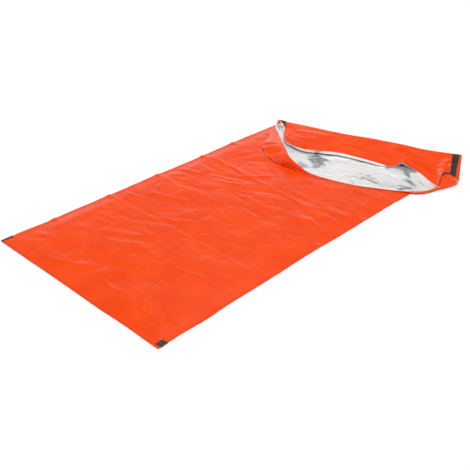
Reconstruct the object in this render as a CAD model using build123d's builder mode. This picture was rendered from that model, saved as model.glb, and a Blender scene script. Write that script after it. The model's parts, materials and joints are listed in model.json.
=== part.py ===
"""Emergency bivy sack of laminated film, laid on the ground with its head end folded back.

Millimetres. +X runs across the bag, +Y along it towards the head, +Z up. The origin is on the ground, on
the bag's centre line. The film's real thickness is about 0.05 mm; here each film is a thin plate that
stands for it.
"""
from build123d import *
from math import cos, radians, sin
import os

# ---------------------------------------------------------------- driving dimensions
bag_width = 1000.0          # laid flat, weld to weld
foot_y = -880.0             # the closed foot edge
fold_y = 904.0              # where the ground fold crosses the centre line
fold_skew = 3.3             # degrees that the fold line is askew to the foot edge
head_right_x = 600.0        # right end of the fold, where the mouth is pulled outwards
flare_y = 560.0             # where the right edge starts to run outwards

outer_film = 0.6            # orange outer film
inner_film = 0.4            # silver inner film
laminate = outer_film + inner_film
weld_width = 8.0
weld_height = 2 * laminate
crown_z = 10.0              # top of the front panel, held up by the air in the bag
slope_run = 40.0            # the front panel rises over this run from each weld

fold_axis_z = 0.5           # the back layer turns about the middle of its own thickness
lip_axis_v = -35.0          # the front layer turns back this far on the foot side of the ground fold
back_end_v = -12.0          # the back panel stops here, clear of the turn
front_end_v = -38.0
lip_start_v = -43.0

rise_angle = 74.0           # the back layer stands at this angle between the fold and the crest
crest_left = 31.0           # height along the film from the fold to the crest, at the left end
crest_right = 135.0         # and at the right end
fold_left_u = -500.0        # ends of the fold, along the fold line
fold_right_u = 600.0
turn_gap = 3.0              # clear film left out on each side of a fold

lip_z = 10.6                # underside of the mouth lip, just above the front panel
turn_back_z = 12.2          # underside of the corner of the lip that is turned over
tape_thickness = 1.0

# ---------------------------------------------------------------- frames
skew = radians(fold_skew)
fold_frame = Plane(origin=(0, fold_y, 0), x_dir=(cos(skew), sin(skew), 0), z_dir=(0, 0, 1))
rise_frame = Plane(
    origin=fold_frame.from_local_coords(Vector(0, 0, fold_axis_z)),
    x_dir=(cos(skew), sin(skew), 0),
    z_dir=Vector(0, 0, cos(radians(rise_angle))) - fold_frame.y_dir * sin(radians(rise_angle)),
)


def fold_cut(v):
    """Upright plane along the fold line, v millimetres towards the head from it."""
    start = fold_frame.from_local_coords(Vector(0, v, 0))
    return Plane(origin=start, x_dir=fold_frame.x_dir, z_dir=fold_frame.y_dir)


def mix(u, left, right):
    """Value at u along the fold, straight from its left end to its right end."""
    share = (u - fold_left_u) / (fold_right_u - fold_left_u)
    return left + (right - left) * share


# ---------------------------------------------------------------- main bag
def bag_outline(inset):
    """Outline of the bag inside its edges, run on past the head so that a fold can cut it."""
    past_head = 1100.0
    flare = (head_right_x - bag_width / 2) / (fold_y - flare_y)
    corners = [
        (-bag_width / 2, foot_y),
        (bag_width / 2, foot_y),
        (bag_width / 2, flare_y),
        (bag_width / 2 + flare * (past_head - flare_y), past_head),
        (-bag_width / 2, past_head),
    ]
    with BuildSketch() as outline:
        Polygon(*corners, align=None)
        if inset:
            offset(amount=-inset, kind=Kind.INTERSECTION)
    return outline.sketch


def crowned_solid(top_z, edge_z):
    """All that lies under the front panel when its crown is at top_z and its welded edge at edge_z."""
    with BuildPart() as crowned:
        with BuildSketch(Plane.XY.offset(edge_z)):
            add(bag_outline(weld_width))
        extrude(amount=-outer_film)
        with BuildSketch(Plane.XY.offset(edge_z)):
            add(bag_outline(weld_width))
        with BuildSketch(Plane.XY.offset(top_z)):
            add(bag_outline(weld_width + slope_run))
        loft(ruled=True)
    return crowned.part


def back_film(bottom_z, thickness):
    """Flat film of the back panel, between the welds and the fold."""
    with BuildPart() as film:
        with BuildSketch(Plane.XY.offset(bottom_z)):
            add(bag_outline(weld_width))
        extrude(amount=thickness)
        split(bisect_by=fold_cut(back_end_v), keep=Keep.BOTTOM)
    return film.part


outer_crown = crowned_solid(crown_z, weld_height)
middle_crown = crowned_solid(crown_z - outer_film, weld_height - outer_film)
inner_crown = crowned_solid(crown_z - laminate, weld_height - laminate)

with BuildPart() as back_panel_shell:
    add(back_film(0, outer_film))

with BuildPart() as back_panel_liner:
    add(back_film(outer_film, inner_film))

with BuildPart() as front_panel_shell:
    add(outer_crown)
    add(middle_crown, mode=Mode.SUBTRACT)
    split(bisect_by=fold_cut(front_end_v), keep=Keep.BOTTOM)

with BuildPart() as front_panel_liner:
    add(middle_crown)
    add(inner_crown, mode=Mode.SUBTRACT)
    split(bisect_by=fold_cut(front_end_v), keep=Keep.BOTTOM)


# ---------------------------------------------------------------- welded margins
def weld_band(x_from, x_to, y_from, y_to):
    """The part of the bag's welded margin that lies in a rectangle of the ground."""
    with BuildPart() as weld:
        with BuildSketch():
            add(bag_outline(0))
            add(bag_outline(weld_width), mode=Mode.SUBTRACT)
            with Locations(((x_from + x_to) / 2, (y_from + y_to) / 2)):
                Rectangle(x_to - x_from, y_to - y_from, mode=Mode.INTERSECT)
        extrude(amount=weld_height)
        split(bisect_by=fold_cut(back_end_v), keep=Keep.BOTTOM)
    return weld.part


side_from = foot_y + weld_width
side_to = 1000.0
side_reach = 700.0

with BuildPart() as foot_weld:
    add(weld_band(-side_reach, side_reach, foot_y, side_from))

with BuildPart() as left_side_weld:
    add(weld_band(-side_reach, 0, side_from, side_to))

with BuildPart() as right_side_weld:
    add(weld_band(0, side_reach, side_from, side_to))


# ---------------------------------------------------------------- black patches at the foot corners
def foot_patch(side, y_from, length, reach):
    """Tape bonded over the side edge: it lies on the rising film and turns down over the weld."""
    edge = bag_width / 2
    rise = (crown_z - weld_height) / slope_run
    inner = edge - reach
    lift = 0.1
    under = weld_height + lift
    leaf = [
        (edge + lift, 0),
        (edge + lift, under),
        (edge - weld_width, under),
        (inner, under + rise * (edge - weld_width - inner)),
        (inner, under + rise * (edge - weld_width - inner) + tape_thickness),
        (edge - weld_width, under + tape_thickness),
        (edge + lift + tape_thickness, under + tape_thickness),
        (edge + lift + tape_thickness, 0),
    ]
    section = Plane(origin=(0, y_from, 0), x_dir=(side, 0, 0), z_dir=(0, -side, 0))
    with BuildPart() as patch:
        with BuildSketch(section):
            Polygon(*leaf, align=None)
        extrude(amount=-side * length)
    return patch.part


with BuildPart() as foot_patch_right:
    add(foot_patch(1, foot_y + 10, 31, 22))

with BuildPart() as foot_patch_left:
    add(foot_patch(-1, foot_y, 52, 13))


# ---------------------------------------------------------------- head rise: fold to crest
def rise_film(offset_in, thickness):
    """Upright film of the back layer, offset towards the inside of the bag."""
    corners = [
        (fold_left_u, turn_gap),
        (fold_right_u, turn_gap),
        (fold_right_u, crest_right - turn_gap),
        (fold_left_u, crest_left - turn_gap),
    ]
    with BuildPart() as film:
        with BuildSketch(rise_frame.offset(offset_in)):
            Polygon(*corners, align=None)
        extrude(amount=thickness)
    return film.part


with BuildPart() as head_rise_shell:
    add(rise_film(-laminate / 2, outer_film))

with BuildPart() as head_rise_liner:
    add(rise_film(outer_film - laminate / 2, inner_film))

# ---------------------------------------------------------------- head band: crest to mouth hem
band_outline = [
    (-493, 880), (-268, 676), (-202, 648), (-124, 635), (-24, 673), (94, 727),
    (234, 746), (348, 776), (470, 800), (582, 808), (612, 850), (622, 900), (600, 1010), (-493, 1010),
]
hem_left = (-300.0, 40.0)       # v and z of the straight line that the hem end of the film is lofted to
hem_right = (-170.0, 40.0)


def band_section(u, above, below):
    """Cross-section of a film on the band: between two heights measured from the band's outer face."""
    crest = mix(u, crest_left, crest_right)
    crest_v = crest * cos(radians(rise_angle))
    crest_z = crest * sin(radians(rise_angle)) + fold_axis_z
    hem_v = mix(u, hem_left[0], hem_right[0])
    hem_z = mix(u, hem_left[1], hem_right[1])
    start = turn_gap / (crest_v - hem_v)
    start_v = crest_v + (hem_v - crest_v) * start
    start_z = crest_z + (hem_z - crest_z) * start
    return [(start_v, start_z + above), (hem_v, hem_z + above), (hem_v, hem_z - below), (start_v, start_z - below)]


def band_film(above, below, outline):
    """Film lofted along the whole crest and trimmed to a plan outline."""
    with BuildPart() as film:
        for u in (fold_left_u, fold_right_u + 40):
            section = Plane(
                origin=fold_frame.from_local_coords(Vector(u, 0, 0)),
                x_dir=fold_frame.y_dir,
                z_dir=fold_frame.x_dir,
            )
            with BuildSketch(section):
                Polygon(*band_section(u, above, below), align=None)
        loft(ruled=True)
        with BuildSketch():
            Polygon(*outline, align=None)
        extrude(amount=200, mode=Mode.INTERSECT)
    return film.part


with BuildPart() as head_band_shell:
    add(band_film(0, outer_film, band_outline))

with BuildPart() as head_band_liner:
    add(band_film(-outer_film, laminate, band_outline))

hook_outline_right = [(553, 940), (590, 943), (604, 858), (567, 855)]
hook_outline_left = [(-442, 848), (-412, 872), (-350, 815), (-378, 789)]

with BuildPart() as hook_strip_right:
    add(band_film(tape_thickness, 0, hook_outline_right))

with BuildPart() as hook_strip_left:
    add(band_film(tape_thickness, 0, hook_outline_left))

# ---------------------------------------------------------------- mouth lip: the front layer, silver up
crease = [(-480, 825), (-328, 568), (-187, 495), (62, 486)]
lip_front = [(210, 532), (388, 608), (526, 677), (565, 721), (590, 800), (600, 1010)]
turned_hem = [(0, 512), (-70, 538), (-175, 592), (-300, 700), (-420, 790)]
outer_wall_shift = (0.4, 0.6)
inner_wall_shift = (0.67, 1.0)


def moved(points, shift):
    """Plan points moved by a small shift."""
    return [(x + shift[0], y + shift[1]) for x, y in points]


def lip_film(lower_z, upper_z, thickness, wall_from, wall_to):
    """Film that lies on the bag and, along the crease, turns back over itself."""
    lip_outline = moved(crease, wall_from) + lip_front + [(-480, 1010)]
    turned_outline = moved(crease, wall_from) + turned_hem
    wall_outline = moved(crease, wall_from) + moved(crease, wall_to)[::-1]
    with BuildPart() as film:
        with BuildSketch(Plane.XY.offset(lower_z)):
            Polygon(*lip_outline, align=None)
        extrude(amount=thickness)
        split(bisect_by=fold_cut(lip_start_v), keep=Keep.BOTTOM)
        with BuildSketch(Plane.XY.offset(upper_z)):
            Polygon(*turned_outline, align=None)
        extrude(amount=thickness)
        with BuildSketch(Plane.XY.offset(lower_z)):
            Polygon(*wall_outline, align=None)
        extrude(amount=upper_z + thickness - lower_z)
    return film.part


with BuildPart() as mouth_lip_shell:
    add(lip_film(lip_z, turn_back_z + inner_film, outer_film, (0, 0), outer_wall_shift))

with BuildPart() as mouth_lip_liner:
    add(lip_film(lip_z + outer_film, turn_back_z, inner_film, outer_wall_shift, inner_wall_shift))


def loop_strip(outline):
    """Closure tape lying on the silver face of the lip."""
    with BuildPart() as strip:
        with BuildSketch(Plane.XY.offset(lip_z + laminate)):
            Polygon(*outline, align=None)
        extrude(amount=tape_thickness)
    return strip.part


loop_outline_right = [(545, 770), (582, 780), (592, 878), (554, 876)]
loop_outline_left = [(-418, 828), (-381, 832), (-345, 776), (-378, 768)]

with BuildPart() as loop_strip_right:
    add(loop_strip(loop_outline_right))

with BuildPart() as loop_strip_left:
    add(loop_strip(loop_outline_left))

# ---------------------------------------------------------------- write the sub-parts
nodes = {
    "back_panel_shell": back_panel_shell,
    "back_panel_liner": back_panel_liner,
    "front_panel_shell": front_panel_shell,
    "front_panel_liner": front_panel_liner,
    "left_side_weld": left_side_weld,
    "right_side_weld": right_side_weld,
    "foot_weld": foot_weld,
    "foot_patch_left": foot_patch_left,
    "foot_patch_right": foot_patch_right,
    "head_rise_shell": head_rise_shell,
    "head_rise_liner": head_rise_liner,
    "head_band_shell": head_band_shell,
    "head_band_liner": head_band_liner,
    "hook_strip_left": hook_strip_left,
    "hook_strip_right": hook_strip_right,
    "mouth_lip_shell": mouth_lip_shell,
    "mouth_lip_liner": mouth_lip_liner,
    "loop_strip_left": loop_strip_left,
    "loop_strip_right": loop_strip_right,
}

os.makedirs("parts", exist_ok=True)
for name, node in nodes.items():
    node.part.label = name
    export_step(node.part, f"parts/{name}.step")
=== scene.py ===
# %% [markdown]
# # An emergency bivy sack in laminated film
#
# This lesson dresses a plain model of an emergency bivy sack. The real sack is two sheets of thin film,
# orange polyethylene outside and silver inside, welded together along both sides and the foot. It lies on
# the ground, its head end is folded back over the bag, and the mouth is pulled open there.
#
# The plain model fixes every size and every fold line. Here the films get their crinkles, their turned
# edges and their finish. All work is in millimetres until a mesh is written, which is in metres.

# %% Load the plain model
import bpy
import json
import math
import numpy as np
from mathutils import Matrix, Vector


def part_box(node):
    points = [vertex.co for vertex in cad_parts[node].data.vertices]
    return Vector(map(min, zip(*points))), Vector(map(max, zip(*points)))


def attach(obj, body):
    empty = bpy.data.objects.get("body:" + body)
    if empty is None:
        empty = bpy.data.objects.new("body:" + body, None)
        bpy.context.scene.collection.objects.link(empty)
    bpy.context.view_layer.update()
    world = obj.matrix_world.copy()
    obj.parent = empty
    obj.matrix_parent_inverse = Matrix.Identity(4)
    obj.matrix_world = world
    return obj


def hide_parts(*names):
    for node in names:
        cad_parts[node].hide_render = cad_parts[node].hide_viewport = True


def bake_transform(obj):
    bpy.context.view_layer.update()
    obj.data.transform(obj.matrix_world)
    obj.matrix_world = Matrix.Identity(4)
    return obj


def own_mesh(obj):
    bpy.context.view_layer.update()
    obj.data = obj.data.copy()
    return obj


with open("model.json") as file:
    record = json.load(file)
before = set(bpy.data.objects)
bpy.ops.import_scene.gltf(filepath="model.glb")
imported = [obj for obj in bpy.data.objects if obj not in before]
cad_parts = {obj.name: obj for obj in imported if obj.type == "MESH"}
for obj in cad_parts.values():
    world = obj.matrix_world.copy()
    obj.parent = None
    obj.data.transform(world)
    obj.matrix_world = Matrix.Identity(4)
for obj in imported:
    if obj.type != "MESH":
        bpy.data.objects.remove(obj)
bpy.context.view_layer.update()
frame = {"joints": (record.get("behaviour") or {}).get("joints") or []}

MM = 0.001

# %% [markdown]
# ## Where the folds are
#
# The joints of the plain model are the three folds of the head end: the fold on the ground, the crest that
# the back sheet is lifted to, and the fold that turns the front sheet back on the bag. The place and axis of
# the ground fold are read from the model, so that the films bend exactly where it does.

# %% Fold lines and frames
joints = {joint["name"]: joint for joint in frame["joints"]}
fold_point = np.array(joints["head_unfold"]["pos_m"]) / MM
across = -np.array(joints["head_unfold"]["axis"])
across[2] = 0.0
across /= np.linalg.norm(across)
headwards = np.array([-across[1], across[0], 0.0])


def fold_y(x, headward=0.0):
    """Y of the ground fold where it crosses x, moved towards the head by so many millimetres."""
    slope = across[1] / across[0]
    return fold_point[1] + slope * (x - fold_point[0]) + headward / across[0]


print("fold crosses the centre line at y", round(float(fold_y(0)), 1))

# %% [markdown]
# ## Curves through a few points
#
# Each edge of the folded head end is a curve through a few points. A Catmull-Rom curve passes through all of
# them and needs no handles. All the curves of one film have the same number of points, so the same place
# along each of them makes a straight cross-section of the film.

# %% Curve helper
def along(points, places):
    """Points of a Catmull-Rom curve; places run from 0 at the first point to 1 at the last."""
    points = np.asarray(points, float)
    first = 2 * points[:1] - points[1:2]
    last = 2 * points[-1:] - points[-2:-1]
    padded = np.concatenate([first, points, last])
    place = np.clip(places, 0, 1) * (len(points) - 1)
    step = np.minimum(place.astype(int), len(points) - 2)
    share = (place - step)[:, None]
    before, start, end, after = (padded[step + k] for k in range(4))
    return 0.5 * (
        2 * start
        + (end - before) * share
        + (2 * before - 5 * start + 4 * end - after) * share**2
        + (3 * start - before - 3 * end + after) * share**3
    )


def smooth_step(value, low, high):
    """0 below low, 1 above high, smooth between."""
    share = np.clip((value - low) / (high - low), 0, 1)
    return share * share * (3 - 2 * share)


# %% [markdown]
# ## Crinkles
#
# Thin film never lies smooth. It keeps two kinds of marks: short straight creases from being crumpled, and
# soft waves where it doesn't touch the ground. Both are height fields over the flat sheet, made from seeded
# random numbers, so every run gives the same sheet. Real geometry is used instead of a bump for all that is
# wider than a centimetre, because the gloss of the film shows every slope.

# %% Height fields
def soft_waves(x, y, size, seed):
    """Smooth random field between -1 and 1, with hills about one size apart."""
    rng = np.random.default_rng(seed)
    lattice = rng.uniform(-1, 1, (64, 64))
    gx, gy = x / size + 1000.0, y / size + 1000.0
    ix, iy = np.floor(gx).astype(int), np.floor(gy).astype(int)
    fx, fy = gx - ix, gy - iy
    fx, fy = (f * f * f * (f * (f * 6 - 15) + 10) for f in (fx, fy))
    corner = lambda dx, dy: lattice[(ix + dx) % 64, (iy + dy) % 64]
    low = corner(0, 0) * (1 - fx) + corner(1, 0) * fx
    high = corner(0, 1) * (1 - fx) + corner(1, 1) * fx
    return low * (1 - fy) + high * fy


def short_creases(x, y, box, count, length, width, height, seed, lean=None):
    """Straight creases at random in a box: each is a narrow ridge or valley that fades at its ends."""
    rng = np.random.default_rng(seed)
    field = np.zeros_like(x)
    for _ in range(count):
        cx = rng.uniform(box[0], box[1])
        cy = rng.uniform(box[2], box[3])
        angle = rng.uniform(0, math.pi) if lean is None else rng.normal(lean[0], lean[1])
        half = rng.uniform(0.5, 1.0) * length / 2
        narrow = rng.uniform(0.6, 1.3) * width
        tall = rng.uniform(0.4, 1.0) * height * rng.choice([-1, 1])
        dx, dy = x - cx, y - cy
        run = dx * math.cos(angle) + dy * math.sin(angle)
        off = -dx * math.sin(angle) + dy * math.cos(angle)
        off = off + 0.08 * run * np.sin(run / 37.0 + cx)
        field += tall * np.exp(-np.abs(off) / narrow) * np.clip(1 - (run / half) ** 2, 0, 1)
    return field


def packing_fold(x, y, start, end, width, height):
    """A long fold from the packet: the sheet stands up along a line and sinks again on either side."""
    start, end = np.array(start, float), np.array(end, float)
    run = (end - start) / np.linalg.norm(end - start)
    dx, dy = x - start[0], y - start[1]
    off = -dx * run[1] + dy * run[0]
    wander = 1.5 * soft_waves(x, y, 90.0, 5)
    return height * np.exp(-np.abs(off + wander) / width)


# %% [markdown]
# ## A film as a closed thin sheet
#
# A film is a grid of points. It could be left as an open surface, but an exported part needs a skin that is
# closed, so each film is written as two faces a fraction of a millimetre apart, joined round the rim. The
# orange film and the silver film share one grid and lie on each other.

# %% Film builder
OUTER_FILM = 0.6
INNER_FILM = 0.4


def grid_normals(points):
    """Unit normals of a grid of points, by the right-hand rule from its first to its second direction."""
    first = np.gradient(points, axis=0)
    second = np.gradient(points, axis=1)
    normals = np.cross(first, second)
    return normals / np.maximum(np.linalg.norm(normals, axis=2, keepdims=True), 1e-9)


def mesh_object(name, vertices, faces, material, sharp=60.0):
    """A smooth-shaded mesh object at the origin, from points in millimetres."""
    mesh = bpy.data.meshes.new(name)
    mesh.from_pydata((np.asarray(vertices) * MM).tolist(), [], faces)
    mesh.validate()
    mesh.shade_smooth()
    mesh.set_sharp_from_angle(angle=math.radians(sharp))
    mesh.materials.append(material)
    made = bpy.data.objects.new(name, mesh)
    bpy.context.scene.collection.objects.link(made)
    return made


def closed_sheet(name, over, under, material):
    """Closed solid between two grids of points, the over grid on the side of the grid's normals."""
    rows, columns = over.shape[:2]
    vertices = np.concatenate([over.reshape(-1, 3), under.reshape(-1, 3)])
    index = np.arange(rows * columns).reshape(rows, columns)
    a, b, c, d = (index[:-1, :-1], index[1:, :-1], index[1:, 1:], index[:-1, 1:])
    upper = np.stack([a, b, c, d], axis=-1).reshape(-1, 4)
    lower = upper[:, ::-1] + rows * columns
    rim = np.concatenate([index[:, 0], index[-1, 1:], index[-2::-1, -1], index[0, -2:0:-1]])
    after = np.roll(rim, -1)
    side = np.stack([rim, rim + rows * columns, after + rows * columns, after], axis=-1)
    faces = np.concatenate([upper, lower, side]).tolist()
    made = mesh_object(name, vertices, faces, material)
    flat_map(made.data, over, rows, columns)
    return made


def film(name, points, top, bottom, material):
    """Closed sheet between two offsets along the grid's normals."""
    normals = grid_normals(points)
    return closed_sheet(name, points + normals * top, points + normals * bottom, material)


def flat_map(mesh, points, rows, columns):
    """A UV map of the sheet laid flat, in metres, so that a pattern follows the film round its folds."""
    down = np.linalg.norm(np.diff(points, axis=0), axis=2)
    over = np.linalg.norm(np.diff(points, axis=1), axis=2)
    u = np.zeros((rows, columns))
    v = np.zeros((rows, columns))
    u[1:, :] = np.cumsum(down, axis=0)
    v[:, 1:] = np.cumsum(over, axis=1)
    flat = np.stack([u, v], axis=-1).reshape(-1, 2) * MM
    flat = np.concatenate([flat, flat])
    layer = mesh.uv_layers.new(name="flat")
    corners = np.zeros(len(mesh.loops), int)
    mesh.loops.foreach_get("vertex_index", corners)
    layer.data.foreach_set("uv", flat[corners].ravel())


# %% [markdown]
# ## Materials
#
# Polyethylene film is glossy but not clear: its colour comes from pigment inside, and a thin white gloss lies
# over it. The silver side is a metal layer on film, bright and finely wrinkled; grey patches of painted shade
# in its colour stand for the shade of its crumples. Both get a small bump for the wrinkles that are too fine
# for the mesh, and a slow change of roughness, as handled film has.

# %% Material helpers
def new_material(name):
    """An empty node material with a Principled shader; returns the material, its nodes, links and shader."""
    material = bpy.data.materials.new(name)
    material.use_nodes = True
    tree = material.node_tree
    shader = next(n for n in tree.nodes if n.type == "BSDF_PRINCIPLED")
    return material, tree.nodes, tree.links, shader


def place_node(nodes, links, scale):
    """Object coordinates, scaled."""
    coordinates = nodes.new("ShaderNodeTexCoord")
    mapping = nodes.new("ShaderNodeMapping")
    mapping.inputs["Scale"].default_value = scale
    links.new(coordinates.outputs["Object"], mapping.inputs["Vector"])
    return mapping.outputs["Vector"]


def noise_node(nodes, links, where, scale, detail=3.0, rough=0.55, distortion=0.0):
    noise = nodes.new("ShaderNodeTexNoise")
    noise.inputs["Scale"].default_value = scale
    noise.inputs["Detail"].default_value = detail
    noise.inputs["Roughness"].default_value = rough
    noise.inputs["Distortion"].default_value = distortion
    links.new(where, noise.inputs["Vector"])
    return noise.outputs["Fac"]


def ramp_node(nodes, links, value, stops):
    ramp = nodes.new("ShaderNodeValToRGB")
    ramp.color_ramp.elements[0].position = stops[0][0]
    ramp.color_ramp.elements[0].color = stops[0][1]
    ramp.color_ramp.elements[1].position = stops[-1][0]
    ramp.color_ramp.elements[1].color = stops[-1][1]
    for position, colour in stops[1:-1]:
        element = ramp.color_ramp.elements.new(position)
        element.color = colour
    links.new(value, ramp.inputs["Fac"])
    return ramp.outputs["Color"]


def range_node(nodes, links, value, low, high):
    """Spreads a 0 to 1 value over another range."""
    spread = nodes.new("ShaderNodeMapRange")
    spread.inputs["To Min"].default_value = low
    spread.inputs["To Max"].default_value = high
    links.new(value, spread.inputs["Value"])
    return spread.outputs["Result"]


def bump_node(nodes, links, height, depth, below=None):
    bump = nodes.new("ShaderNodeBump")
    bump.inputs["Strength"].default_value = 1.0
    bump.inputs["Distance"].default_value = depth
    links.new(height, bump.inputs["Height"])
    if below is not None:
        links.new(below, bump.inputs["Normal"])
    return bump.outputs["Normal"]


# %% Orange film
def make_orange(name, deep, bright, rough_low, rough_high, wrinkle):
    material, nodes, links, shader = new_material(name)
    where = place_node(nodes, links, (1, 1, 1))
    cloud = noise_node(nodes, links, where, 7.0, 4.0)
    links.new(ramp_node(nodes, links, cloud, [(0.3, deep), (0.7, bright)]), shader.inputs["Base Color"])
    smear = noise_node(nodes, links, where, 16.0, 5.0)
    links.new(range_node(nodes, links, smear, rough_low, rough_high), shader.inputs["Roughness"])
    long_way = place_node(nodes, links, (1, 1.9, 1.4))
    ridges = nodes.new("ShaderNodeTexNoise")
    ridges.noise_type = "RIDGED_MULTIFRACTAL"
    ridges.inputs["Scale"].default_value = 7.0
    ridges.inputs["Detail"].default_value = 4.0
    ridges.inputs["Roughness"].default_value = 0.5
    ridges.inputs["Distortion"].default_value = 0.5
    links.new(long_way, ridges.inputs["Vector"])
    ridged = bump_node(nodes, links, ridges.outputs["Fac"], 10 * wrinkle)
    fine = noise_node(nodes, links, where, 55.0, 4.0, 0.6, 0.6)
    grain = noise_node(nodes, links, where, 420.0, 2.0)
    coarse = bump_node(nodes, links, fine, wrinkle, ridged)
    links.new(bump_node(nodes, links, grain, 0.00003, coarse), shader.inputs["Normal"])
    shader.inputs["IOR"].default_value = 1.5
    shader.inputs["Specular IOR Level"].default_value = 0.20
    return material


orange = make_orange(
    "orange_polyethylene", (0.83, 0.052, 0.002, 1), (0.91, 0.074, 0.004, 1), 0.16, 0.30, 0.0003
)
weld_orange = make_orange(
    "orange_welded_margin", (0.78, 0.046, 0.003, 1), (0.86, 0.062, 0.004, 1), 0.28, 0.44, 0.0001
)


# %% Silver film
def make_silver():
    material, nodes, links, shader = new_material("aluminised_film")
    where = place_node(nodes, links, (1, 1, 1))
    cells = nodes.new("ShaderNodeTexVoronoi")
    cells.feature = "F1"
    cells.inputs["Scale"].default_value = 28.0
    bent = noise_node(nodes, links, where, 14.0, 3.0)
    shift = nodes.new("ShaderNodeVectorMath")
    shift.operation = "MULTIPLY_ADD"
    links.new(where, shift.inputs[2])
    spread = nodes.new("ShaderNodeCombineXYZ")
    links.new(bent, spread.inputs[0])
    links.new(bent, spread.inputs[1])
    links.new(spread.outputs[0], shift.inputs[0])
    shift.inputs[1].default_value = (0.05, 0.07, 0.0)
    links.new(shift.outputs[0], cells.inputs["Vector"])
    facets = bump_node(nodes, links, cells.outputs["Distance"], 0.0040)
    small = noise_node(nodes, links, where, 95.0, 5.0, 0.65, 1.0)
    links.new(bump_node(nodes, links, small, 0.0010, facets), shader.inputs["Normal"])
    streaks = place_node(nodes, links, (0.7, 1.5, 1))
    # Dark grey patches in the silver's base colour are painted shade of its crumples; the same noise spreads
    # the roughness.
    painted_shade_noise = noise_node(nodes, links, streaks, 6.0, 6.0, 0.62, 1.6)
    painted_shade_greys = [(0.37, (0.34, 0.36, 0.39, 1)), (0.45, (0.98, 0.975, 0.96, 1)), (0.7, (1.0, 0.995, 0.985, 1))]
    links.new(ramp_node(nodes, links, painted_shade_noise, painted_shade_greys), shader.inputs["Base Color"])
    links.new(range_node(nodes, links, painted_shade_noise, 0.12, 0.34), shader.inputs["Roughness"])
    shader.inputs["Metallic"].default_value = 0.42
    return material


silver = make_silver()


# %% Black tape
def make_tape(name, tint, rough):
    material, nodes, links, shader = new_material(name)
    where = place_node(nodes, links, (1, 1, 1))
    weave = nodes.new("ShaderNodeTexWave")
    weave.wave_type = "BANDS"
    weave.bands_direction = "DIAGONAL"
    weave.inputs["Scale"].default_value = 190.0
    weave.inputs["Distortion"].default_value = 1.5
    links.new(where, weave.inputs["Vector"])
    links.new(bump_node(nodes, links, weave.outputs["Fac"], 0.00035), shader.inputs["Normal"])
    dust = noise_node(nodes, links, where, 130.0, 4.0)
    worn = tuple(min(1.0, c * 3.2) for c in tint[:3]) + (1,)
    links.new(ramp_node(nodes, links, dust, [(0.35, tint), (0.8, worn)]), shader.inputs["Base Color"])
    shader.inputs["Roughness"].default_value = rough
    shader.inputs["Sheen Weight"].default_value = 0.25
    return material


black_tape = make_tape("black_woven_tape", (0.012, 0.012, 0.014, 1), 0.72)
black_pile = make_tape("black_hook_pile", (0.008, 0.008, 0.009, 1), 0.5)
thread = make_tape("black_thread", (0.03, 0.03, 0.032, 1), 0.6)
print("materials", len(bpy.data.materials))

# %% [markdown]
# ## The bag on the ground
#
# The bag is two sheets welded round three sides. Every piece of it goes through one `settle` step, which
# lifts and shifts the margins a little where the packing folds cross them. Because all pieces share it, the
# welds stay joined to the films.

# %% Outline of the bag
HALF_WIDTH = -float(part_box("left_side_weld")[0].x) / MM
FOOT = float(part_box("foot_weld")[0].y) / MM
WELD = 8.0
FLARE_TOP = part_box("right_side_weld")[1]
FLARE_Y = (0.0, 300.0, 500.0, 700.0, 770.0, float(FLARE_TOP.y) / MM)
FLARE_X = (*(HALF_WIDTH + out for out in (0, 5, 10, 17, 38)), float(FLARE_TOP.x) / MM)
CROSS_FOLDS = (-610.0, -305.0, -10.0, 300.0, 530.0)


def right_edge(y):
    """The right edge runs outwards near the head, where the mouth is pulled open."""
    return np.interp(y, FLARE_Y, FLARE_X)


def settle(points):
    """Moves points of the bag as its margins lie: slightly wavy in plan, lifted at the packing folds."""
    x, y = points[..., 0], points[..., 1]
    side = smooth_step(np.abs(x), HALF_WIDTH - 70, HALF_WIDTH)
    foot = smooth_step(-y, -FOOT - 60, -FOOT)
    before_fold = fold_y(x) - y
    moved = points.copy()
    moved[..., 0] += side * 2.5 * soft_waves(y, np.sign(x) * 9, 130.0, 21) * smooth_step(before_fold, 40, 200)
    moved[..., 1] += foot * 1.8 * soft_waves(x, x * 0, 160.0, 22)
    lift = np.zeros_like(x)
    for place in CROSS_FOLDS:
        lift += 4.0 * np.exp(-(((y - place - 14 * np.sign(x)) / 16) ** 2))
    lift += 2.2 * (0.5 + 0.5 * soft_waves(y, np.sign(x) * 50, 70.0, 23))
    moved[..., 2] += side * lift * smooth_step(before_fold, 60, 160)
    moved[..., 2] += foot * (1 - side) * 2.0 * (0.5 + 0.5 * soft_waves(x, x * 0, 85.0, 24))
    return moved


# %% Plan grid between the welds
def plan_grid(columns, rows, head_gap, inset=WELD):
    """X and Y of a grid over the bag, from the foot weld to a line so far short of the ground fold."""
    s, t = np.meshgrid(np.linspace(0, 1, columns), np.linspace(0, 1, rows), indexing="ij")
    x = (2 * s - 1) * (HALF_WIDTH - inset)
    for _ in range(3):
        y = FOOT + inset + t * (fold_y(x, -head_gap) - FOOT - inset)
        x = -HALF_WIDTH + inset + s * (right_edge(y) - inset + HALF_WIDTH - inset)
    return x, y


# %% [markdown]
# ## Front sheet
#
# The front sheet is the large orange surface. It is held up about a centimetre by the air in the bag and
# sinks to the weld at each side. It carries the folds of the packet, which cross it at equal steps, and
# scattered creases.

# %% Front sheet
CROWN = 10.0        # height that the air in the bag holds the sheet at
EDGE = 2.4          # its height at the welds
FRONT_GAP = 38.0    # it ends so far short of the ground fold, where the roll of the lip starts
BACK_GAP = 32.0
RELIEF_LIMIT = 3.6  # waves, folds and creases together are held within this height


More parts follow.
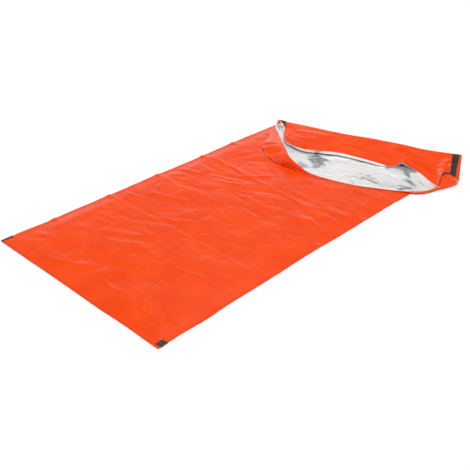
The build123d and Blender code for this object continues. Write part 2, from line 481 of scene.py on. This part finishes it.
def front_height(x, y):
    """Height of the front sheet over the ground."""
    to_side = np.minimum(x + HALF_WIDTH - WELD, right_edge(y) - WELD - x)
    to_edge = np.minimum(to_side, y - FOOT - WELD)
    inside = smooth_step(to_edge, 0, 70)
    waves = 2.2 * soft_waves(x, y, 210.0, 1) + 1.3 * soft_waves(x, y, 95.0, 2)
    folds = packing_fold(x, y, (-500, 316), (210, 232), 9.0, 4.5)
    folds += packing_fold(x, y, (0, -306), (500, -312), 12.0, -3.2)
    folds += packing_fold(x, y, (-240, -880), (-470, -540), 26.0, 3.0)
    folds += packing_fold(x, y, (-60, 130), (520, 330), 14.0, 2.2)
    for place in CROSS_FOLDS:
        folds += packing_fold(x, y, (-500, place), (500, place - 22), 8.0, 1.2)
    for place in (-250.0, 0.0, 250.0):
        folds += packing_fold(x, y, (place, -900), (place + 12, 900), 8.0, 0.9)
    box = (-500, 560, -880, 900)
    creases = short_creases(x, y, box, 120, 330, 12.0, 4.2, 3, (0.05, 0.35))
    creases += short_creases(x, y, box, 200, 150, 8.0, 2.8, 6)
    creases += short_creases(x, y, box, 300, 70, 6.0, 1.6, 4)
    relief = 1.1 * (waves + folds + creases)
    return EDGE + inside * (CROWN - EDGE - 2.0 + RELIEF_LIMIT * np.tanh(relief / RELIEF_LIMIT))


x, y = plan_grid(161, 290, FRONT_GAP)
front_grid = settle(np.stack([x, y, front_height(x, y)], axis=-1))
front_shell = film("front_sheet_orange", front_grid, 0.0, -OUTER_FILM, orange)
x, y = plan_grid(81, 219, FRONT_GAP)
top = front_height(x, y)
liner_grid = np.stack([x, y, top - 0.3 - OUTER_FILM - 1.2 * smooth_step(top, 3, 8)], axis=-1)
front_liner = film("front_sheet_silver", settle(liner_grid), 0.0, -INNER_FILM, silver)
print("front sheet", len(front_shell.data.polygons), "faces")

# %% Back sheet
x, y = plan_grid(61, 181, BACK_GAP)
back_grid = settle(np.stack([x, y, np.zeros_like(x)], axis=-1))
back_shell = film("back_sheet_orange", back_grid, OUTER_FILM, 0.0, orange)
back_liner = film("back_sheet_silver", back_grid, OUTER_FILM + INNER_FILM, OUTER_FILM, silver)

# %% [markdown]
# ## Welded margins
#
# Both sheets are pressed together under a hot bar along the sides and the foot. The bar leaves a margin with
# a shallow groove and a row of small cross ribs. The margin is one thin solid; the ribs are hundreds of
# copies of one small shape, which is work for Geometry Nodes.

# %% Welded margins
def bag_top(x, y):
    """Top of the bag anywhere, the welded margin with its groove included."""
    to_side = np.minimum(x + HALF_WIDTH, right_edge(y) - x)
    to_rim = np.minimum(to_side, y - FOOT)
    margin = np.interp(to_rim, (0, 1.5, 2.5, 5.5, 6.5, WELD), (1.2, 1.9, 1.5, 1.5, 1.9, EDGE))
    return np.where(to_rim < WELD, margin, front_height(x, y))


def weld_strip(name, x, y):
    """A margin from the ground to the groove; the first direction of x and y runs across it."""
    over = settle(np.stack([x, y, bag_top(x, y)], axis=-1))
    under = settle(np.stack([x, y, np.zeros_like(x)], axis=-1))
    return closed_sheet(name, over, under, weld_orange)


ACROSS_WELD = np.array([0, 0.7, 1.5, 2.5, 4.0, 5.5, 6.5, 7.3, WELD])
WELD_END = -34.0
weld_places = np.linspace(0, 1, 361)
over_weld, down = np.meshgrid(ACROSS_WELD, weld_places, indexing="ij")
y = FOOT + down * (fold_y(-HALF_WIDTH, WELD_END) - FOOT)
left_weld = weld_strip("left_weld", over_weld - HALF_WIDTH, y)
y = FOOT + down * (fold_y(float(FLARE_TOP.x) / MM, WELD_END) - FOOT)
right_weld = weld_strip("right_weld", right_edge(y) - ACROSS_WELD[::-1, None], y)
foot_places = np.linspace(WELD - HALF_WIDTH, HALF_WIDTH - WELD, 201)
along_foot, up_foot = np.meshgrid(foot_places, ACROSS_WELD, indexing="ij")
foot_weld = weld_strip("foot_weld_margin", along_foot, FOOT + up_foot)

# %% [markdown]
# ## Small shapes in rows
#
# Ribs, stitches, hooks and loops all stand in rows on some face of the bag. One node tree places any of
# them: it takes polylines with the direction of the face stored on their points, cuts them at an even pitch,
# and puts one small shape on each point, turned along the row and away from the face.

# %% Node tree for rows
def rows_tree():
    """The node tree: rows cut at a pitch, a shape on each point, turned to the row and the face."""
    tree = bpy.data.node_groups.new("shapes_in_rows", "GeometryNodeTree")
    face = tree.interface
    kinds = {"Rows": "Geometry", "Shape": "Object", "Pitch": "Float", "Unevenness": "Float", "Seed": "Int",
             "Finish": "Material"}
    for label, kind in kinds.items():
        face.new_socket(label, in_out="INPUT", socket_type="NodeSocket" + kind)
    face.new_socket("Shapes", in_out="OUTPUT", socket_type="NodeSocketGeometry")
    nodes, links = tree.nodes, tree.links
    entry, leave = nodes.new("NodeGroupInput"), nodes.new("NodeGroupOutput")
    curve, cut = nodes.new("GeometryNodeMeshToCurve"), nodes.new("GeometryNodeResampleCurve")
    cut.mode = "LENGTH"
    put = nodes.new("GeometryNodeInstanceOnPoints")
    shape, direction = nodes.new("GeometryNodeObjectInfo"), nodes.new("GeometryNodeInputNamedAttribute")
    direction.data_type = "FLOAT_VECTOR"
    direction.inputs["Name"].default_value = "face"
    tangent = nodes.new("GeometryNodeInputTangent")
    turn_along, turn_up = (nodes.new("FunctionNodeAlignRotationToVector") for _ in range(2))
    turn_along.axis, turn_up.axis, turn_up.pivot_axis = "X", "Z", "X"
    chance = nodes.new("FunctionNodeRandomValue")
    low, high = nodes.new("ShaderNodeMath"), nodes.new("ShaderNodeMath")
    low.operation, high.operation = "SUBTRACT", "ADD"
    real, dress = nodes.new("GeometryNodeRealizeInstances"), nodes.new("GeometryNodeSetMaterial")
    for sign in (low, high):
        sign.inputs[0].default_value = 1.0
        links.new(entry.outputs["Unevenness"], sign.inputs[1])
    links.new(low.outputs[0], chance.inputs[2])
    links.new(high.outputs[0], chance.inputs[3])
    links.new(entry.outputs["Seed"], chance.inputs["Seed"])
    links.new(entry.outputs["Rows"], curve.inputs["Mesh"])
    links.new(curve.outputs["Curve"], cut.inputs["Curve"])
    links.new(entry.outputs["Pitch"], cut.inputs["Length"])
    links.new(cut.outputs["Curve"], put.inputs["Points"])
    links.new(entry.outputs["Shape"], shape.inputs["Object"])
    links.new(shape.outputs["Geometry"], put.inputs["Instance"])
    links.new(tangent.outputs["Tangent"], turn_along.inputs["Vector"])
    links.new(turn_along.outputs["Rotation"], turn_up.inputs["Rotation"])
    links.new(direction.outputs["Attribute"], turn_up.inputs["Vector"])
    links.new(turn_up.outputs["Rotation"], put.inputs["Rotation"])
    links.new(chance.outputs[1], put.inputs["Scale"])
    links.new(put.outputs["Instances"], real.inputs["Geometry"])
    links.new(real.outputs["Geometry"], dress.inputs["Geometry"])
    links.new(entry.outputs["Finish"], dress.inputs["Material"])
    links.new(dress.outputs["Geometry"], leave.inputs["Shapes"])
    return tree


ROWS = rows_tree()


# %% Small shapes
def small_shape(name, sections):
    """A closed little solid from rectangular sections: each is (x centre, z, half length x, half width y)."""
    vertices, faces = [], []
    for centre, height, half_x, half_y in sections:
        corners = ((-1, -1), (1, -1), (1, 1), (-1, 1))
        vertices += [(centre + sx * half_x, sy * half_y, height) for sx, sy in corners]
    for step in range(len(sections) - 1):
        a = 4 * step
        faces += [(a + k, a + (k + 1) % 4, a + 4 + (k + 1) % 4, a + 4 + k) for k in range(4)]
    last = 4 * (len(sections) - 1)
    faces += [(3, 2, 1, 0), tuple(last + k for k in range(4))]
    return mesh_object(name, vertices, faces, thread)


rib_shape = small_shape("rib_shape", [(0, -0.4, 1.1, 3.0), (0, 0.25, 1.0, 2.9), (0, 0.55, 0.5, 2.5)])
stitch_shape = small_shape("stitch_shape", [(0, -0.2, 1.5, 0.35), (0, 0.3, 1.4, 0.35), (0, 0.45, 1.0, 0.2)])
hook_shape = small_shape("hook_shape", [
    (0, -0.1, 0.3, 0.3), (0, 0.9, 0.25, 0.25), (0.35, 1.3, 0.3, 0.35), (0.9, 1.1, 0.15, 0.3),
])
loop_shape = small_shape("loop_shape", [
    (-0.5, -0.1, 0.2, 0.2), (-0.4, 0.7, 0.22, 0.25), (0.2, 1.1, 0.3, 0.25), (0.7, 0.5, 0.2, 0.2),
])


def shapes_along(name, rows, shape, pitch, unevenness, seed, finish):
    """Places copies of a shape along rows; a row is (points, unit directions of the face) in millimetres."""
    mesh = bpy.data.meshes.new(name + "_rows")
    vertices = np.concatenate([points for points, _ in rows]) * MM
    faces = np.concatenate([directions for _, directions in rows])
    edges, first = [], 0
    for points, _ in rows:
        edges += [(first + k, first + k + 1) for k in range(len(points) - 1)]
        first += len(points)
    mesh.from_pydata(vertices.tolist(), edges, [])
    stored = mesh.attributes.new("face", "FLOAT_VECTOR", "POINT")
    stored.data.foreach_set("vector", faces.astype(np.float32).ravel())
    lines = bpy.data.objects.new(name + "_rows", mesh)
    bpy.context.scene.collection.objects.link(lines)
    modifier = lines.modifiers.new("rows", "NODES")
    modifier.node_group = ROWS
    values = {"Shape": shape, "Pitch": pitch * MM, "Unevenness": unevenness, "Seed": seed, "Finish": finish}
    for item in ROWS.interface.items_tree:
        if item.item_type == "SOCKET" and item.in_out == "INPUT" and item.name in values:
            modifier[item.identifier] = values[item.name]
    bpy.context.view_layer.update()
    evaluated = lines.evaluated_get(bpy.context.evaluated_depsgraph_get())
    made = bpy.data.objects.new(name, bpy.data.meshes.new_from_object(evaluated))
    bpy.context.scene.collection.objects.link(made)
    lines.modifiers.remove(modifier)
    bpy.data.objects.remove(lines)
    print(name, len(made.data.polygons), "faces")
    return made


# %% Ribs of the welds
def level_row(x, y, lift=0.0):
    """A row on top of the bag."""
    points = settle(np.stack([x, y, bag_top(x, y) + lift], axis=-1))
    return points, np.tile([0.0, 0.0, 1.0], (len(x), 1))


y = np.linspace(FOOT + 4, fold_y(-HALF_WIDTH, WELD_END - 6), 361)
left_row = level_row(np.full_like(y, 4 - HALF_WIDTH), y)
y = np.linspace(FOOT + 4, fold_y(float(FLARE_TOP.x) / MM, WELD_END - 6), 361)
right_row = level_row(right_edge(y) - 4, y)
x = np.linspace(12 - HALF_WIDTH, HALF_WIDTH - 12, 201)
foot_row = level_row(x, np.full_like(x, FOOT + 4))
weld_ribs = shapes_along("weld_ribs", [left_row, right_row, foot_row], rib_shape, 6.0, 0.12, 7, weld_orange)

# %% [markdown]
# ## Foot patches
#
# A short piece of black tape is stuck over each corner at the foot. Each is a thin strip that follows the
# bag's top, with a line of stitches round it.

# %% Foot patches
def foot_patch(name, corners):
    """Tape between four corners on top of the bag, and the row that its stitches follow."""
    u, v = np.meshgrid(np.linspace(0, 1, 15), np.linspace(0, 1, 21), indexing="ij")
    a, b, c, d = (np.array(corner, float) for corner in corners)
    flat = (1 - u)[..., None] * ((1 - v)[..., None] * a + v[..., None] * d) + u[..., None] * (
        (1 - v)[..., None] * b + v[..., None] * c
    )
    x, y = flat[..., 0], flat[..., 1]
    ground = settle(np.stack([x, y, bag_top(x, y)], axis=-1))
    lift = np.array([0, 0, 1.0])
    patch = closed_sheet(name, ground + 1.3 * lift, ground + 0.1 * lift, black_tape)
    inner = [ground[2:-2, 2], ground[-3, 2:-2], ground[2:-2, -3][::-1], ground[2, 2:-2][::-1]]
    ring = np.concatenate(inner) + 1.3 * lift
    return patch, (ring, np.tile(lift, (len(ring), 1)))


patch_right, ring_right = foot_patch("foot_tape_right", [(474, -872), (502, -868), (502, -836), (476, -839)])
patch_left, ring_left = foot_patch("foot_tape_left", [(-501, -880), (-487, -878), (-484, -829), (-501, -827)])
rings = [ring_right, ring_left]
patch_stitches = shapes_along("foot_tape_stitches", rings, stitch_shape, 4.2, 0.1, 3, thread)

# %% [markdown]
# ## The folded head end: back sheet
#
# At the ground fold the back sheet stands up, runs to the crest, and comes down again towards the foot as a
# broad orange band that ends at the mouth's hem. Four curves say where: the fold, the crest, and the hem,
# each with one point per station from left to right, and a bulge between them. The hem is lifted at one
# place into a small peak, and at the right end the band becomes a steep wall.

# %% Curves of the back sheet
CREST = [
    (-491, 887, 30), (-475, 890, 32), (-453, 887, 35), (-424, 888, 38), (-371, 893, 42), (-269, 899, 50),
    (-134, 902, 62), (-11, 912, 73), (103, 929, 83), (207, 938, 92), (252, 942, 96), (291, 944, 99),
    (319, 946, 101), (409, 946, 109), (481, 953, 117), (541, 961, 124), (596, 974, 130),
]
HEM = [
    (-469, 853, 22), (-441, 859, 22), (-382, 809, 24), (-290, 705, 27), (-217, 675, 27), (-121, 673, 26),
    (-29, 724, 26), (66, 769, 26), (193, 790, 26), (291, 804, 26), (330, 816, 27), (352, 846, 47),
    (371, 848, 46), (473, 829, 34), (583, 806, 14), (600, 880, 9), (621, 936, 3),
]
FOLD_X = [
    -500, -478, -455, -426, -374, -272, -137, -14, 100, 204, 249, 289, 318, 410, 486, 552, 617,
]
# How far the hem's edge rolls outwards, and how far the band bulges between crest and hem.
CURL = [0, 0, 0, 3, 8, 11, 12, 12, 11, 10, 9, 9, 8, 6, 3, 0, 0]
SAG = [0, 0, -2, -4, 2, 6, 8, 8, 6, 4, 2, 0, 0, 2, 3, 3, 2]


def column(values, s):
    """One number per station, followed smoothly."""
    padded = np.stack([values, np.zeros(len(values)), np.zeros(len(values))], axis=1)
    return along(padded, s)[:, 0]


# %% Cross-sections of the back sheet
def back_stations(s):
    """Points of the back sheet's cross-section at each s: ground, fold, rise, crest, band, hem, curl."""
    crest, hem = along(CREST, s), along(HEM, s)
    fold_x = column(FOLD_X, s)
    up = np.array([0.0, 0.0, 1.0])
    fold = np.stack([fold_x, fold_y(fold_x, 3.0), np.full_like(fold_x, 2.2)], axis=1)
    ground = np.stack([fold_x, fold_y(fold_x, -32.0), np.zeros_like(fold_x)], axis=1)
    near_fold = np.stack([fold_x, fold_y(fold_x, -8.0), np.full_like(fold_x, 0.1)], axis=1)
    rise = crest - fold
    low_rise = fold + 0.3 * rise + 3.0 * headwards
    half_rise = fold + 0.62 * rise + 3.0 * headwards
    below_crest = fold + 0.92 * rise + 0.8 * headwards
    shoulder = crest + 0.07 * (hem - crest) + 1.5 * up
    sag = column(SAG, s)[:, None] * up
    bulges = ((0.3, 0.9), (0.55, 1.0), (0.8, 0.6))
    band = [crest + share * (hem - crest) + bulge * sag for share, bulge in bulges]
    curl = column(CURL, s)[:, None]
    roll = hem + curl * (-0.75 * headwards - 0.15 * up)
    tip = hem + curl * (-0.75 * headwards + 0.95 * up)
    return [ground, near_fold, fold, low_rise, half_rise, below_crest, crest, shoulder, *band, hem, roll, tip]


BACK_PLACES = np.array([0, 0.06, 0.1, 0.17, 0.25, 0.315, 0.34, 0.37, 0.52, 0.68, 0.84, 0.95, 0.975, 1.0])
CREST_PLACE = 0.34


def curve_through(stations, places, t):
    """Each row of stations is a curve over t; places says at which t it passes each station."""
    stack = np.stack(stations)
    smooth = np.interp(t, places, np.linspace(0, 1, len(places)))
    shape = stack.shape
    flat = along(stack.reshape(shape[0], -1), smooth)
    return flat.reshape(len(t), shape[1], 3).transpose(1, 0, 2)


# %% Relief of the folded back sheet
# Nominal lengths of the folded sheets, along the fold and from it to the edge, to lay out their creases on.
BAND_RUN = 1120.0
DROP = 420.0


def back_relief(s, t):
    """Small hills and creases of the band, along its normals."""
    run, drop = np.meshgrid(s * BAND_RUN, t * DROP, indexing="ij")
    box = (0, BAND_RUN, 100, DROP)
    relief = 2.4 * soft_waves(run, drop, 120.0, 31) + 1.3 * soft_waves(run, drop, 55.0, 32)
    relief += short_creases(run, drop, box, 70, 240, 9.0, 3.4, 33, (0.0, 0.25))
    relief += short_creases(run, drop, box, 110, 80, 6.0, 2.0, 34)
    band = smooth_step(drop, 0.10 * DROP, 0.2 * DROP) * (1 - 0.6 * smooth_step(drop, 0.9 * DROP, DROP))
    crest = np.exp(-(((drop / DROP - 0.335) / 0.035) ** 2))
    return -relief * band * (1 - 0.85 * crest)


def back_surface(s, t):
    """Outer face of the back sheet over places s along the fold and t from the ground to the hem."""
    points = curve_through(back_stations(s), BACK_PLACES, t)
    return points + grid_normals(points) * back_relief(s, t)[..., None]


def sheet_films(name, points, outward):
    """Orange outer film and silver inner film on a grid that is the sheet's outer face."""
    if outward > 0:
        shell = film(name + "_orange", points, 0.0, -OUTER_FILM, orange)
        liner = film(name + "_silver", points, -OUTER_FILM, -OUTER_FILM - INNER_FILM, silver)
    else:
        shell = film(name + "_orange", points, OUTER_FILM, 0.0, orange)
        liner = film(name + "_silver", points, OUTER_FILM + INNER_FILM, OUTER_FILM, silver)
    print(name, points.shape[0], "by", points.shape[1], "points")
    return shell, liner


places_s = np.linspace(0, 1, 281)
places_t = np.concatenate([np.linspace(0, 0.95, 96), np.linspace(0.955, 1, 10)])
whole_back = back_surface(places_s, places_t)
split = int(np.argmin(np.abs(places_t - CREST_PLACE)))
rise_shell, rise_liner = sheet_films("head_rise", whole_back[:, : split + 1], -1)
band_shell, band_liner = sheet_films("head_band", whole_back[:, split:], -1)

# %% [markdown]
# ## The folded head end: front sheet
#
# The front sheet turns back on the bag with its silver side up. In the left half its edge is turned up and
# over, so that the orange side shows in the shade. At the right end its corner stands up in the same way.
# `TURN` is the line where the film leaves the ground sheet, and `LIP` is its free edge.

# %% Curves of the front sheet
LIP_START = [
    (-488, -33), (-450, -36), (-400, -38), (-350, -38), (-280, -38), (-200, -38), (-110, -38), (-20, -38),
    (60, -38), (160, -38), (260, -38), (350, -38), (430, -38), (500, -38), (540, -37), (566, -34),
    (584, -30), (600, -24), (612, -16), (619, -8),
]
TURN = [
    (-487, 842, 12), (-452, 790, 13), (-395, 700, 14), (-352, 600, 14.5), (-270, 528, 14.5),
    (-187, 494, 14.5), (-95, 485, 14), (0, 484, 13.5), (78, 488, 13), (200, 527, 12.5), (310, 564, 12.5), (395, 609, 12.5),
    (470, 650, 12), (527, 679, 10), (565, 720, 8), (591, 795, 5), (609, 842, 3), (620, 880, 2.5),
    (625, 912, 2.5), (621, 932, 2.5),
]
LIP = [
    (-486, 845, 16), (-415, 780, 23), (-350, 728, 31), (-285, 672, 41), (-215, 610, 52), (-140, 546, 58),
    (-79, 500, 58), (-10, 492, 38), (60, 492, 20), (200, 521, 12.6), (312, 558, 12.6), (398, 603, 12.6),
    (474, 645, 12.2), (523, 686, 14), (559, 728, 13), (582, 806, 16), (582, 836, 60), (604, 852, 71),
    (625, 890, 42), (621, 930, 9),
]
LIP_BULGE = [0, 2, 5, 8, 9, 9, 8, 5, 2, 0, 0, 0, 0, 1, 1, 2, 9, 12, 8, 2]
LIP_HILL = [0, 0, 0, 0, 0, 0, 0, 0, 0, 0, 6, 24, 22, 12, 5, 0, 0, 0, 0, 0]      # under the lifted hem


def lip_stations(s):
    """Points of the front sheet's cross-section at each s, from its fold to its free edge."""
    start = along([(px, 0, pv) for px, pv in LIP_START], s)
    start_y = fold_y(start[:, 0], 0) + start[:, 2]
    start_points = np.stack([start[:, 0], start_y, np.full(len(s), 13.5)], axis=1)
    turn, lip = along(TURN, s), along(LIP, s)
    up = np.array([0.0, 0.0, 1.0])
    reach = turn - start_points
    width = np.linalg.norm(reach, axis=1, keepdims=True)
    out = reach / np.maximum(width, 1)
    hill = np.maximum(column(LIP_HILL, s), 0)[:, None] * up
    flat = [
        start_points + share * reach + rise * hill
        for share, rise in ((0.14, 0.85), (0.34, 1.0), (0.6, 0.4))
    ]
    before = turn - out * np.minimum(14, 0.2 * width) - 1.6 * up
    bulge = column(LIP_BULGE, s)[:, None]
    wall = lip - turn
    tall = smooth_step(wall[:, 2:], 0, 8)
    low_wall = turn + 0.22 * wall + 0.6 * bulge * out + 2.6 * tall * up
    high_wall = turn + 0.62 * wall + 0.9 * bulge * out + (2.2 * tall + 0.15 * bulge) * up
    return [start_points, *flat, before, turn, low_wall, high_wall, lip]


LIP_PLACES = np.array([0, 0.09, 0.23, 0.42, 0.62, 0.68, 0.76, 0.88, 1.0])


# %% Relief of the lip
LIP_RUN = 1300.0
PLEATS = ((0.165, 0.12, 7.0), (0.20, 0.10, 10.0), (0.235, 0.10, -7.0))      # place, lean and height of each
PLEAT_WIDTH = 0.010


def lip_relief(s, t):
    """The silver side is crumpled; the turned-up wall has a few pleats near its left end."""
    run, drop = np.meshgrid(s * LIP_RUN, t * DROP, indexing="ij")
    box = (0, LIP_RUN, 0, DROP)
    relief = 1.8 * soft_waves(run, drop, 70.0, 41) + 1.2 * soft_waves(run, drop, 32.0, 42)
    relief += short_creases(run, drop, box, 190, 120, 5.5, 5.0, 43)
    place_s, place_t = np.meshgrid(s, t, indexing="ij")
    covered = 1 - smooth_step(place_s, 0.30, 0.42)
    flat = smooth_step(place_t, 0.02, 0.1) * (1 - smooth_step(place_t + 0.22 * covered, 0.48, 0.62))
    wall = smooth_step(t, 0.68, 0.78)
    small = short_creases(run, drop, box, 60, 90, 6.0, 1.6, 44)
    pleats = np.zeros_like(place_s)
    for middle, lean, tall in PLEATS:
        off = (place_s - middle - lean * (place_t - 0.8)) / PLEAT_WIDTH
        fade = smooth_step(place_t, 0.66, 0.74) * (1 - smooth_step(place_t, 0.85, 0.98))
        pleats += tall * np.exp(-(off**2)) * fade
    return -np.maximum(0.6 + 0.75 * relief, 0) * flat + (0.6 * small) * wall[None, :] + pleats


def lip_surface(s, t):
    """Outer face of the lip over places s along the fold and t from the fold to the free edge."""
    points = curve_through(lip_stations(s), LIP_PLACES, t)
    return points + grid_normals(points) * lip_relief(s, t)[..., None]


lip_s = np.linspace(0, 1, 301)
lip_t = np.concatenate([np.linspace(0, 0.6, 64), np.linspace(0.61, 1, 46)])
lip_grid = lip_surface(lip_s, lip_t)
lip_shell, lip_liner = sheet_films("mouth_lip", lip_grid, 1)

# %% The roll that joins the bag's front sheet to the lip
edge_row = front_grid[:, -1, :]
edge_places = np.linspace(0, 1, len(edge_row))
edge = np.stack([np.interp(lip_s, edge_places, edge_row[:, k]) for k in range(3)], axis=1)
start_row = lip_grid[:, 0, :]
middle_row = 0.5 * (edge + start_row) + 6.0 * headwards
roll_t = np.linspace(0, 1, 12)
roll_grid = curve_through([edge, middle_row, start_row], np.array([0, 0.5, 1.0]), roll_t)
roll_shell, roll_liner = sheet_films("lip_roll", roll_grid, 1)

# %% [markdown]
# ## Hook and loop tapes
#
# The mouth closes with hook and loop tape at its corners. The hook tapes are on the outside of the orange
# band, the loop tapes inside the lip. A tape follows the same curves as the film under it, so it bends with
# it and never floats. Its hooks are small solids in rows, from the same node tree as the ribs. Below the left
# hook tape the band's corner is turned over with its silver side out; that is one more thin film.

# %% Tape on a film
def tape_on(name, surface, s_range, t_range, lean, material, shape, pitch, seed):
    """A tape and its pile, on the side of a film that the grid's normals point away from."""
    s = np.linspace(s_range[0] - abs(lean), s_range[1] + abs(lean), 61)
    t = np.linspace(*t_range, 41)
    wide = surface(s, t)
    ground = np.empty((25, len(t), 3))
    for k, part in enumerate(np.linspace(0, 1, len(t))):
        picked = np.linspace(*s_range, 25) + lean * part
        for axis in range(3):
            ground[:, k, axis] = np.interp(picked, s, wide[:, k, axis])
    normals = grid_normals(ground)
    tape = film(name, ground, -0.2, -1.3, material)
    count = max(int(np.linalg.norm(ground[-1, 20] - ground[0, 20]) / pitch), 3)
    rows = []
    for place in np.linspace(0.06, 0.94, count) * 24:
        low, share = int(place), place - int(place)
        points = (1 - share) * ground[low] + share * ground[low + 1]
        facing = -normals[low]
        rows.append(((points + 1.3 * facing)[1:-1], facing[1:-1]))
    pile = shapes_along(name + "_pile", rows, shape, pitch, 0.25, seed, material)
    sewn = [(ground[k, 1:-1] - 1.3 * normals[k, 1:-1], -normals[k, 1:-1]) for k in (1, -2)]
    stitches = shapes_along(name + "_stitches", sewn, stitch_shape, 4.0, 0.08, seed + 1, thread)
    return [tape, pile, stitches]


def lip_inner(s, t):
    """The silver face of the lip, for the loop tapes; past t = 1 it runs straight on beyond the edge."""
    on_film = np.minimum(t, 1.0)
    steps = np.unique(np.concatenate([on_film, [0.985, 1.0]]))
    points = lip_surface(s, steps)
    points = points - grid_normals(points) * (OUTER_FILM + INNER_FILM)
    last = points[:, -1] - points[:, np.searchsorted(steps, 0.985)]
    last /= np.maximum(np.linalg.norm(last, axis=1, keepdims=True), 1e-6)
    picked = points[:, np.searchsorted(steps, on_film)]
    return picked + last[:, None, :] * (400.0 * (t - on_film))[None, :, None]


# %% Four tapes and the turned corner
hook_left = tape_on(
    "hook_tape_left", back_surface, (0.055, 0.175), (0.345, 0.52), 0, black_pile, hook_shape, 3.2, 11
)
corner_s, corner_t = np.linspace(0.055, 0.165, 25), np.linspace(0.525, 0.985, 41)
turned_corner = film("turned_corner", back_surface(corner_s, corner_t), -0.2, -0.9, silver)
hook_right = tape_on(
    "hook_tape_right", back_surface, (0.952, 0.988), (0.35, 0.86), -0.014, black_pile, hook_shape, 3.2, 13
)
loop_left = tape_on(
    "loop_tape_left", lip_inner, (0.004, 0.10), (0.80, 1.012), 0, black_tape, loop_shape, 3.0, 15
)
loop_right = tape_on(
    "loop_tape_right", lip_inner, (0.775, 0.95), (0.86, 1.022), 0, black_tape, loop_shape, 3.0, 17
)
for helper in (rib_shape, stitch_shape, hook_shape, loop_shape):
    bpy.data.objects.remove(helper)

# %% [markdown]
# ## Camera, floor and light
#
# The sack lies on a pale floor under soft, even light, as in a catalogue. The camera looks down on it from
# its near right corner.

# %% Camera
camera_data = bpy.data.cameras.new("camera")
camera_data.lens = 53.9
camera_data.sensor_width = 36.0
camera = bpy.data.objects.new("camera", camera_data)
camera.location = (1.9466, -2.0183, 1.5528)
camera.rotation_euler = (math.radians(58.8), 0.0, math.radians(43.72))
bpy.context.scene.collection.objects.link(camera)
bpy.context.scene.camera = camera

# %% Floor and light
bpy.ops.mesh.primitive_plane_add(size=30, location=(0, 0, -0.0005))
floor = bpy.context.object
floor.name = "floor"
floor_material, _, _, floor_shader = new_material("pale_floor")
floor_shader.inputs["Base Color"].default_value = (0.95, 0.95, 0.95, 1)
floor_shader.inputs["Roughness"].default_value = 0.9
floor_shader.inputs["Specular IOR Level"].default_value = 0.1
floor.data.materials.append(floor_material)


def soft_box(name, place, aim, size, power):
    light_data = bpy.data.lights.new(name, "AREA")
    light_data.shape = "RECTANGLE"
    light_data.size, light_data.size_y = size
    light_data.energy = power
    light = bpy.data.objects.new(name, light_data)
    light.location = place
    light.rotation_euler = (Vector(aim) - Vector(place)).to_track_quat("-Z", "Y").to_euler()
    bpy.context.scene.collection.objects.link(light)


soft_box("key", (-1.2, 1.3, 2.8), (0, 0, 0), (1.5, 1.5), 6)
sun_data = bpy.data.lights.new("window", "SUN")
sun_data.energy = 2.25
sun_data.angle = math.radians(40)
sun = bpy.data.objects.new("window", sun_data)
sun.rotation_euler = (math.radians(6), math.radians(14), 0)
bpy.context.scene.collection.objects.link(sun)

# %% Surroundings
world = bpy.data.worlds.new("studio")
world.use_nodes = True
sky = world.node_tree
sky.nodes["Background"].inputs["Color"].default_value = (1, 1, 1, 1)
height = sky.nodes.new("ShaderNodeSeparateXYZ")
shade = sky.nodes.new("ShaderNodeMapRange")
shade.interpolation_type = "SMOOTHSTEP"
shade.inputs["From Min"].default_value, shade.inputs["From Max"].default_value = 0.22, 0.56
shade.inputs["To Min"].default_value, shade.inputs["To Max"].default_value = 1.04, 0.26
sky.links.new(sky.nodes.new("ShaderNodeTexCoord").outputs["Generated"], height.inputs[0])
sky.links.new(height.outputs["Z"], shade.inputs["Value"])
sky.links.new(shade.outputs["Result"], sky.nodes["Background"].inputs["Strength"])
bpy.context.scene.world = world
bpy.context.scene.view_settings.view_transform = "Standard"

# %% [markdown]
# ## What moves with what
#
# The bag's films, welds, ribs and foot patches ride on the bag's body. The band with its hook tapes and
# turned corner rides on the head band's body, and the lip with its loop tapes on the lip's body, so each
# turns with its body. The films of the rise and the roll ride on no body and stay where they are built.


for piece in (front_shell, front_liner, back_shell, back_liner, left_weld, right_weld, foot_weld, weld_ribs,
              patch_left, patch_right, patch_stitches):
    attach(piece, "bag")
for piece in (rise_shell, rise_liner):
    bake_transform(piece)


for piece in (band_shell, band_liner, turned_corner, *hook_left, *hook_right):
    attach(piece, "head_band")
    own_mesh(piece)
for piece in (roll_shell, roll_liner):
    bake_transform(piece)
for piece in (lip_shell, lip_liner, *loop_left, *loop_right):
    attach(piece, "mouth_lip")
    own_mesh(piece)

# %% Pieces and the plain parts that they stand for
REPLACED = (
    (front_shell, "front_panel_shell"), (front_liner, "front_panel_liner"),
    (back_shell, "back_panel_shell"), (back_liner, "back_panel_liner"), (rise_shell, "head_rise_shell"),
    (rise_liner, "head_rise_liner"), (band_shell, "head_band_shell"), (band_liner, "head_band_liner"),
    (lip_shell, "mouth_lip_shell"), (lip_liner, "mouth_lip_liner"), (left_weld, "left_side_weld"),
    (right_weld, "right_side_weld"), (foot_weld, "foot_weld"), (patch_left, "foot_patch_left"),
    (patch_right, "foot_patch_right"), (hook_left[0], "hook_strip_left"),
    (hook_right[0], "hook_strip_right"), (loop_left[0], "loop_strip_left"),
    (loop_right[0], "loop_strip_right"),
)
for piece, node in REPLACED:
    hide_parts(node)
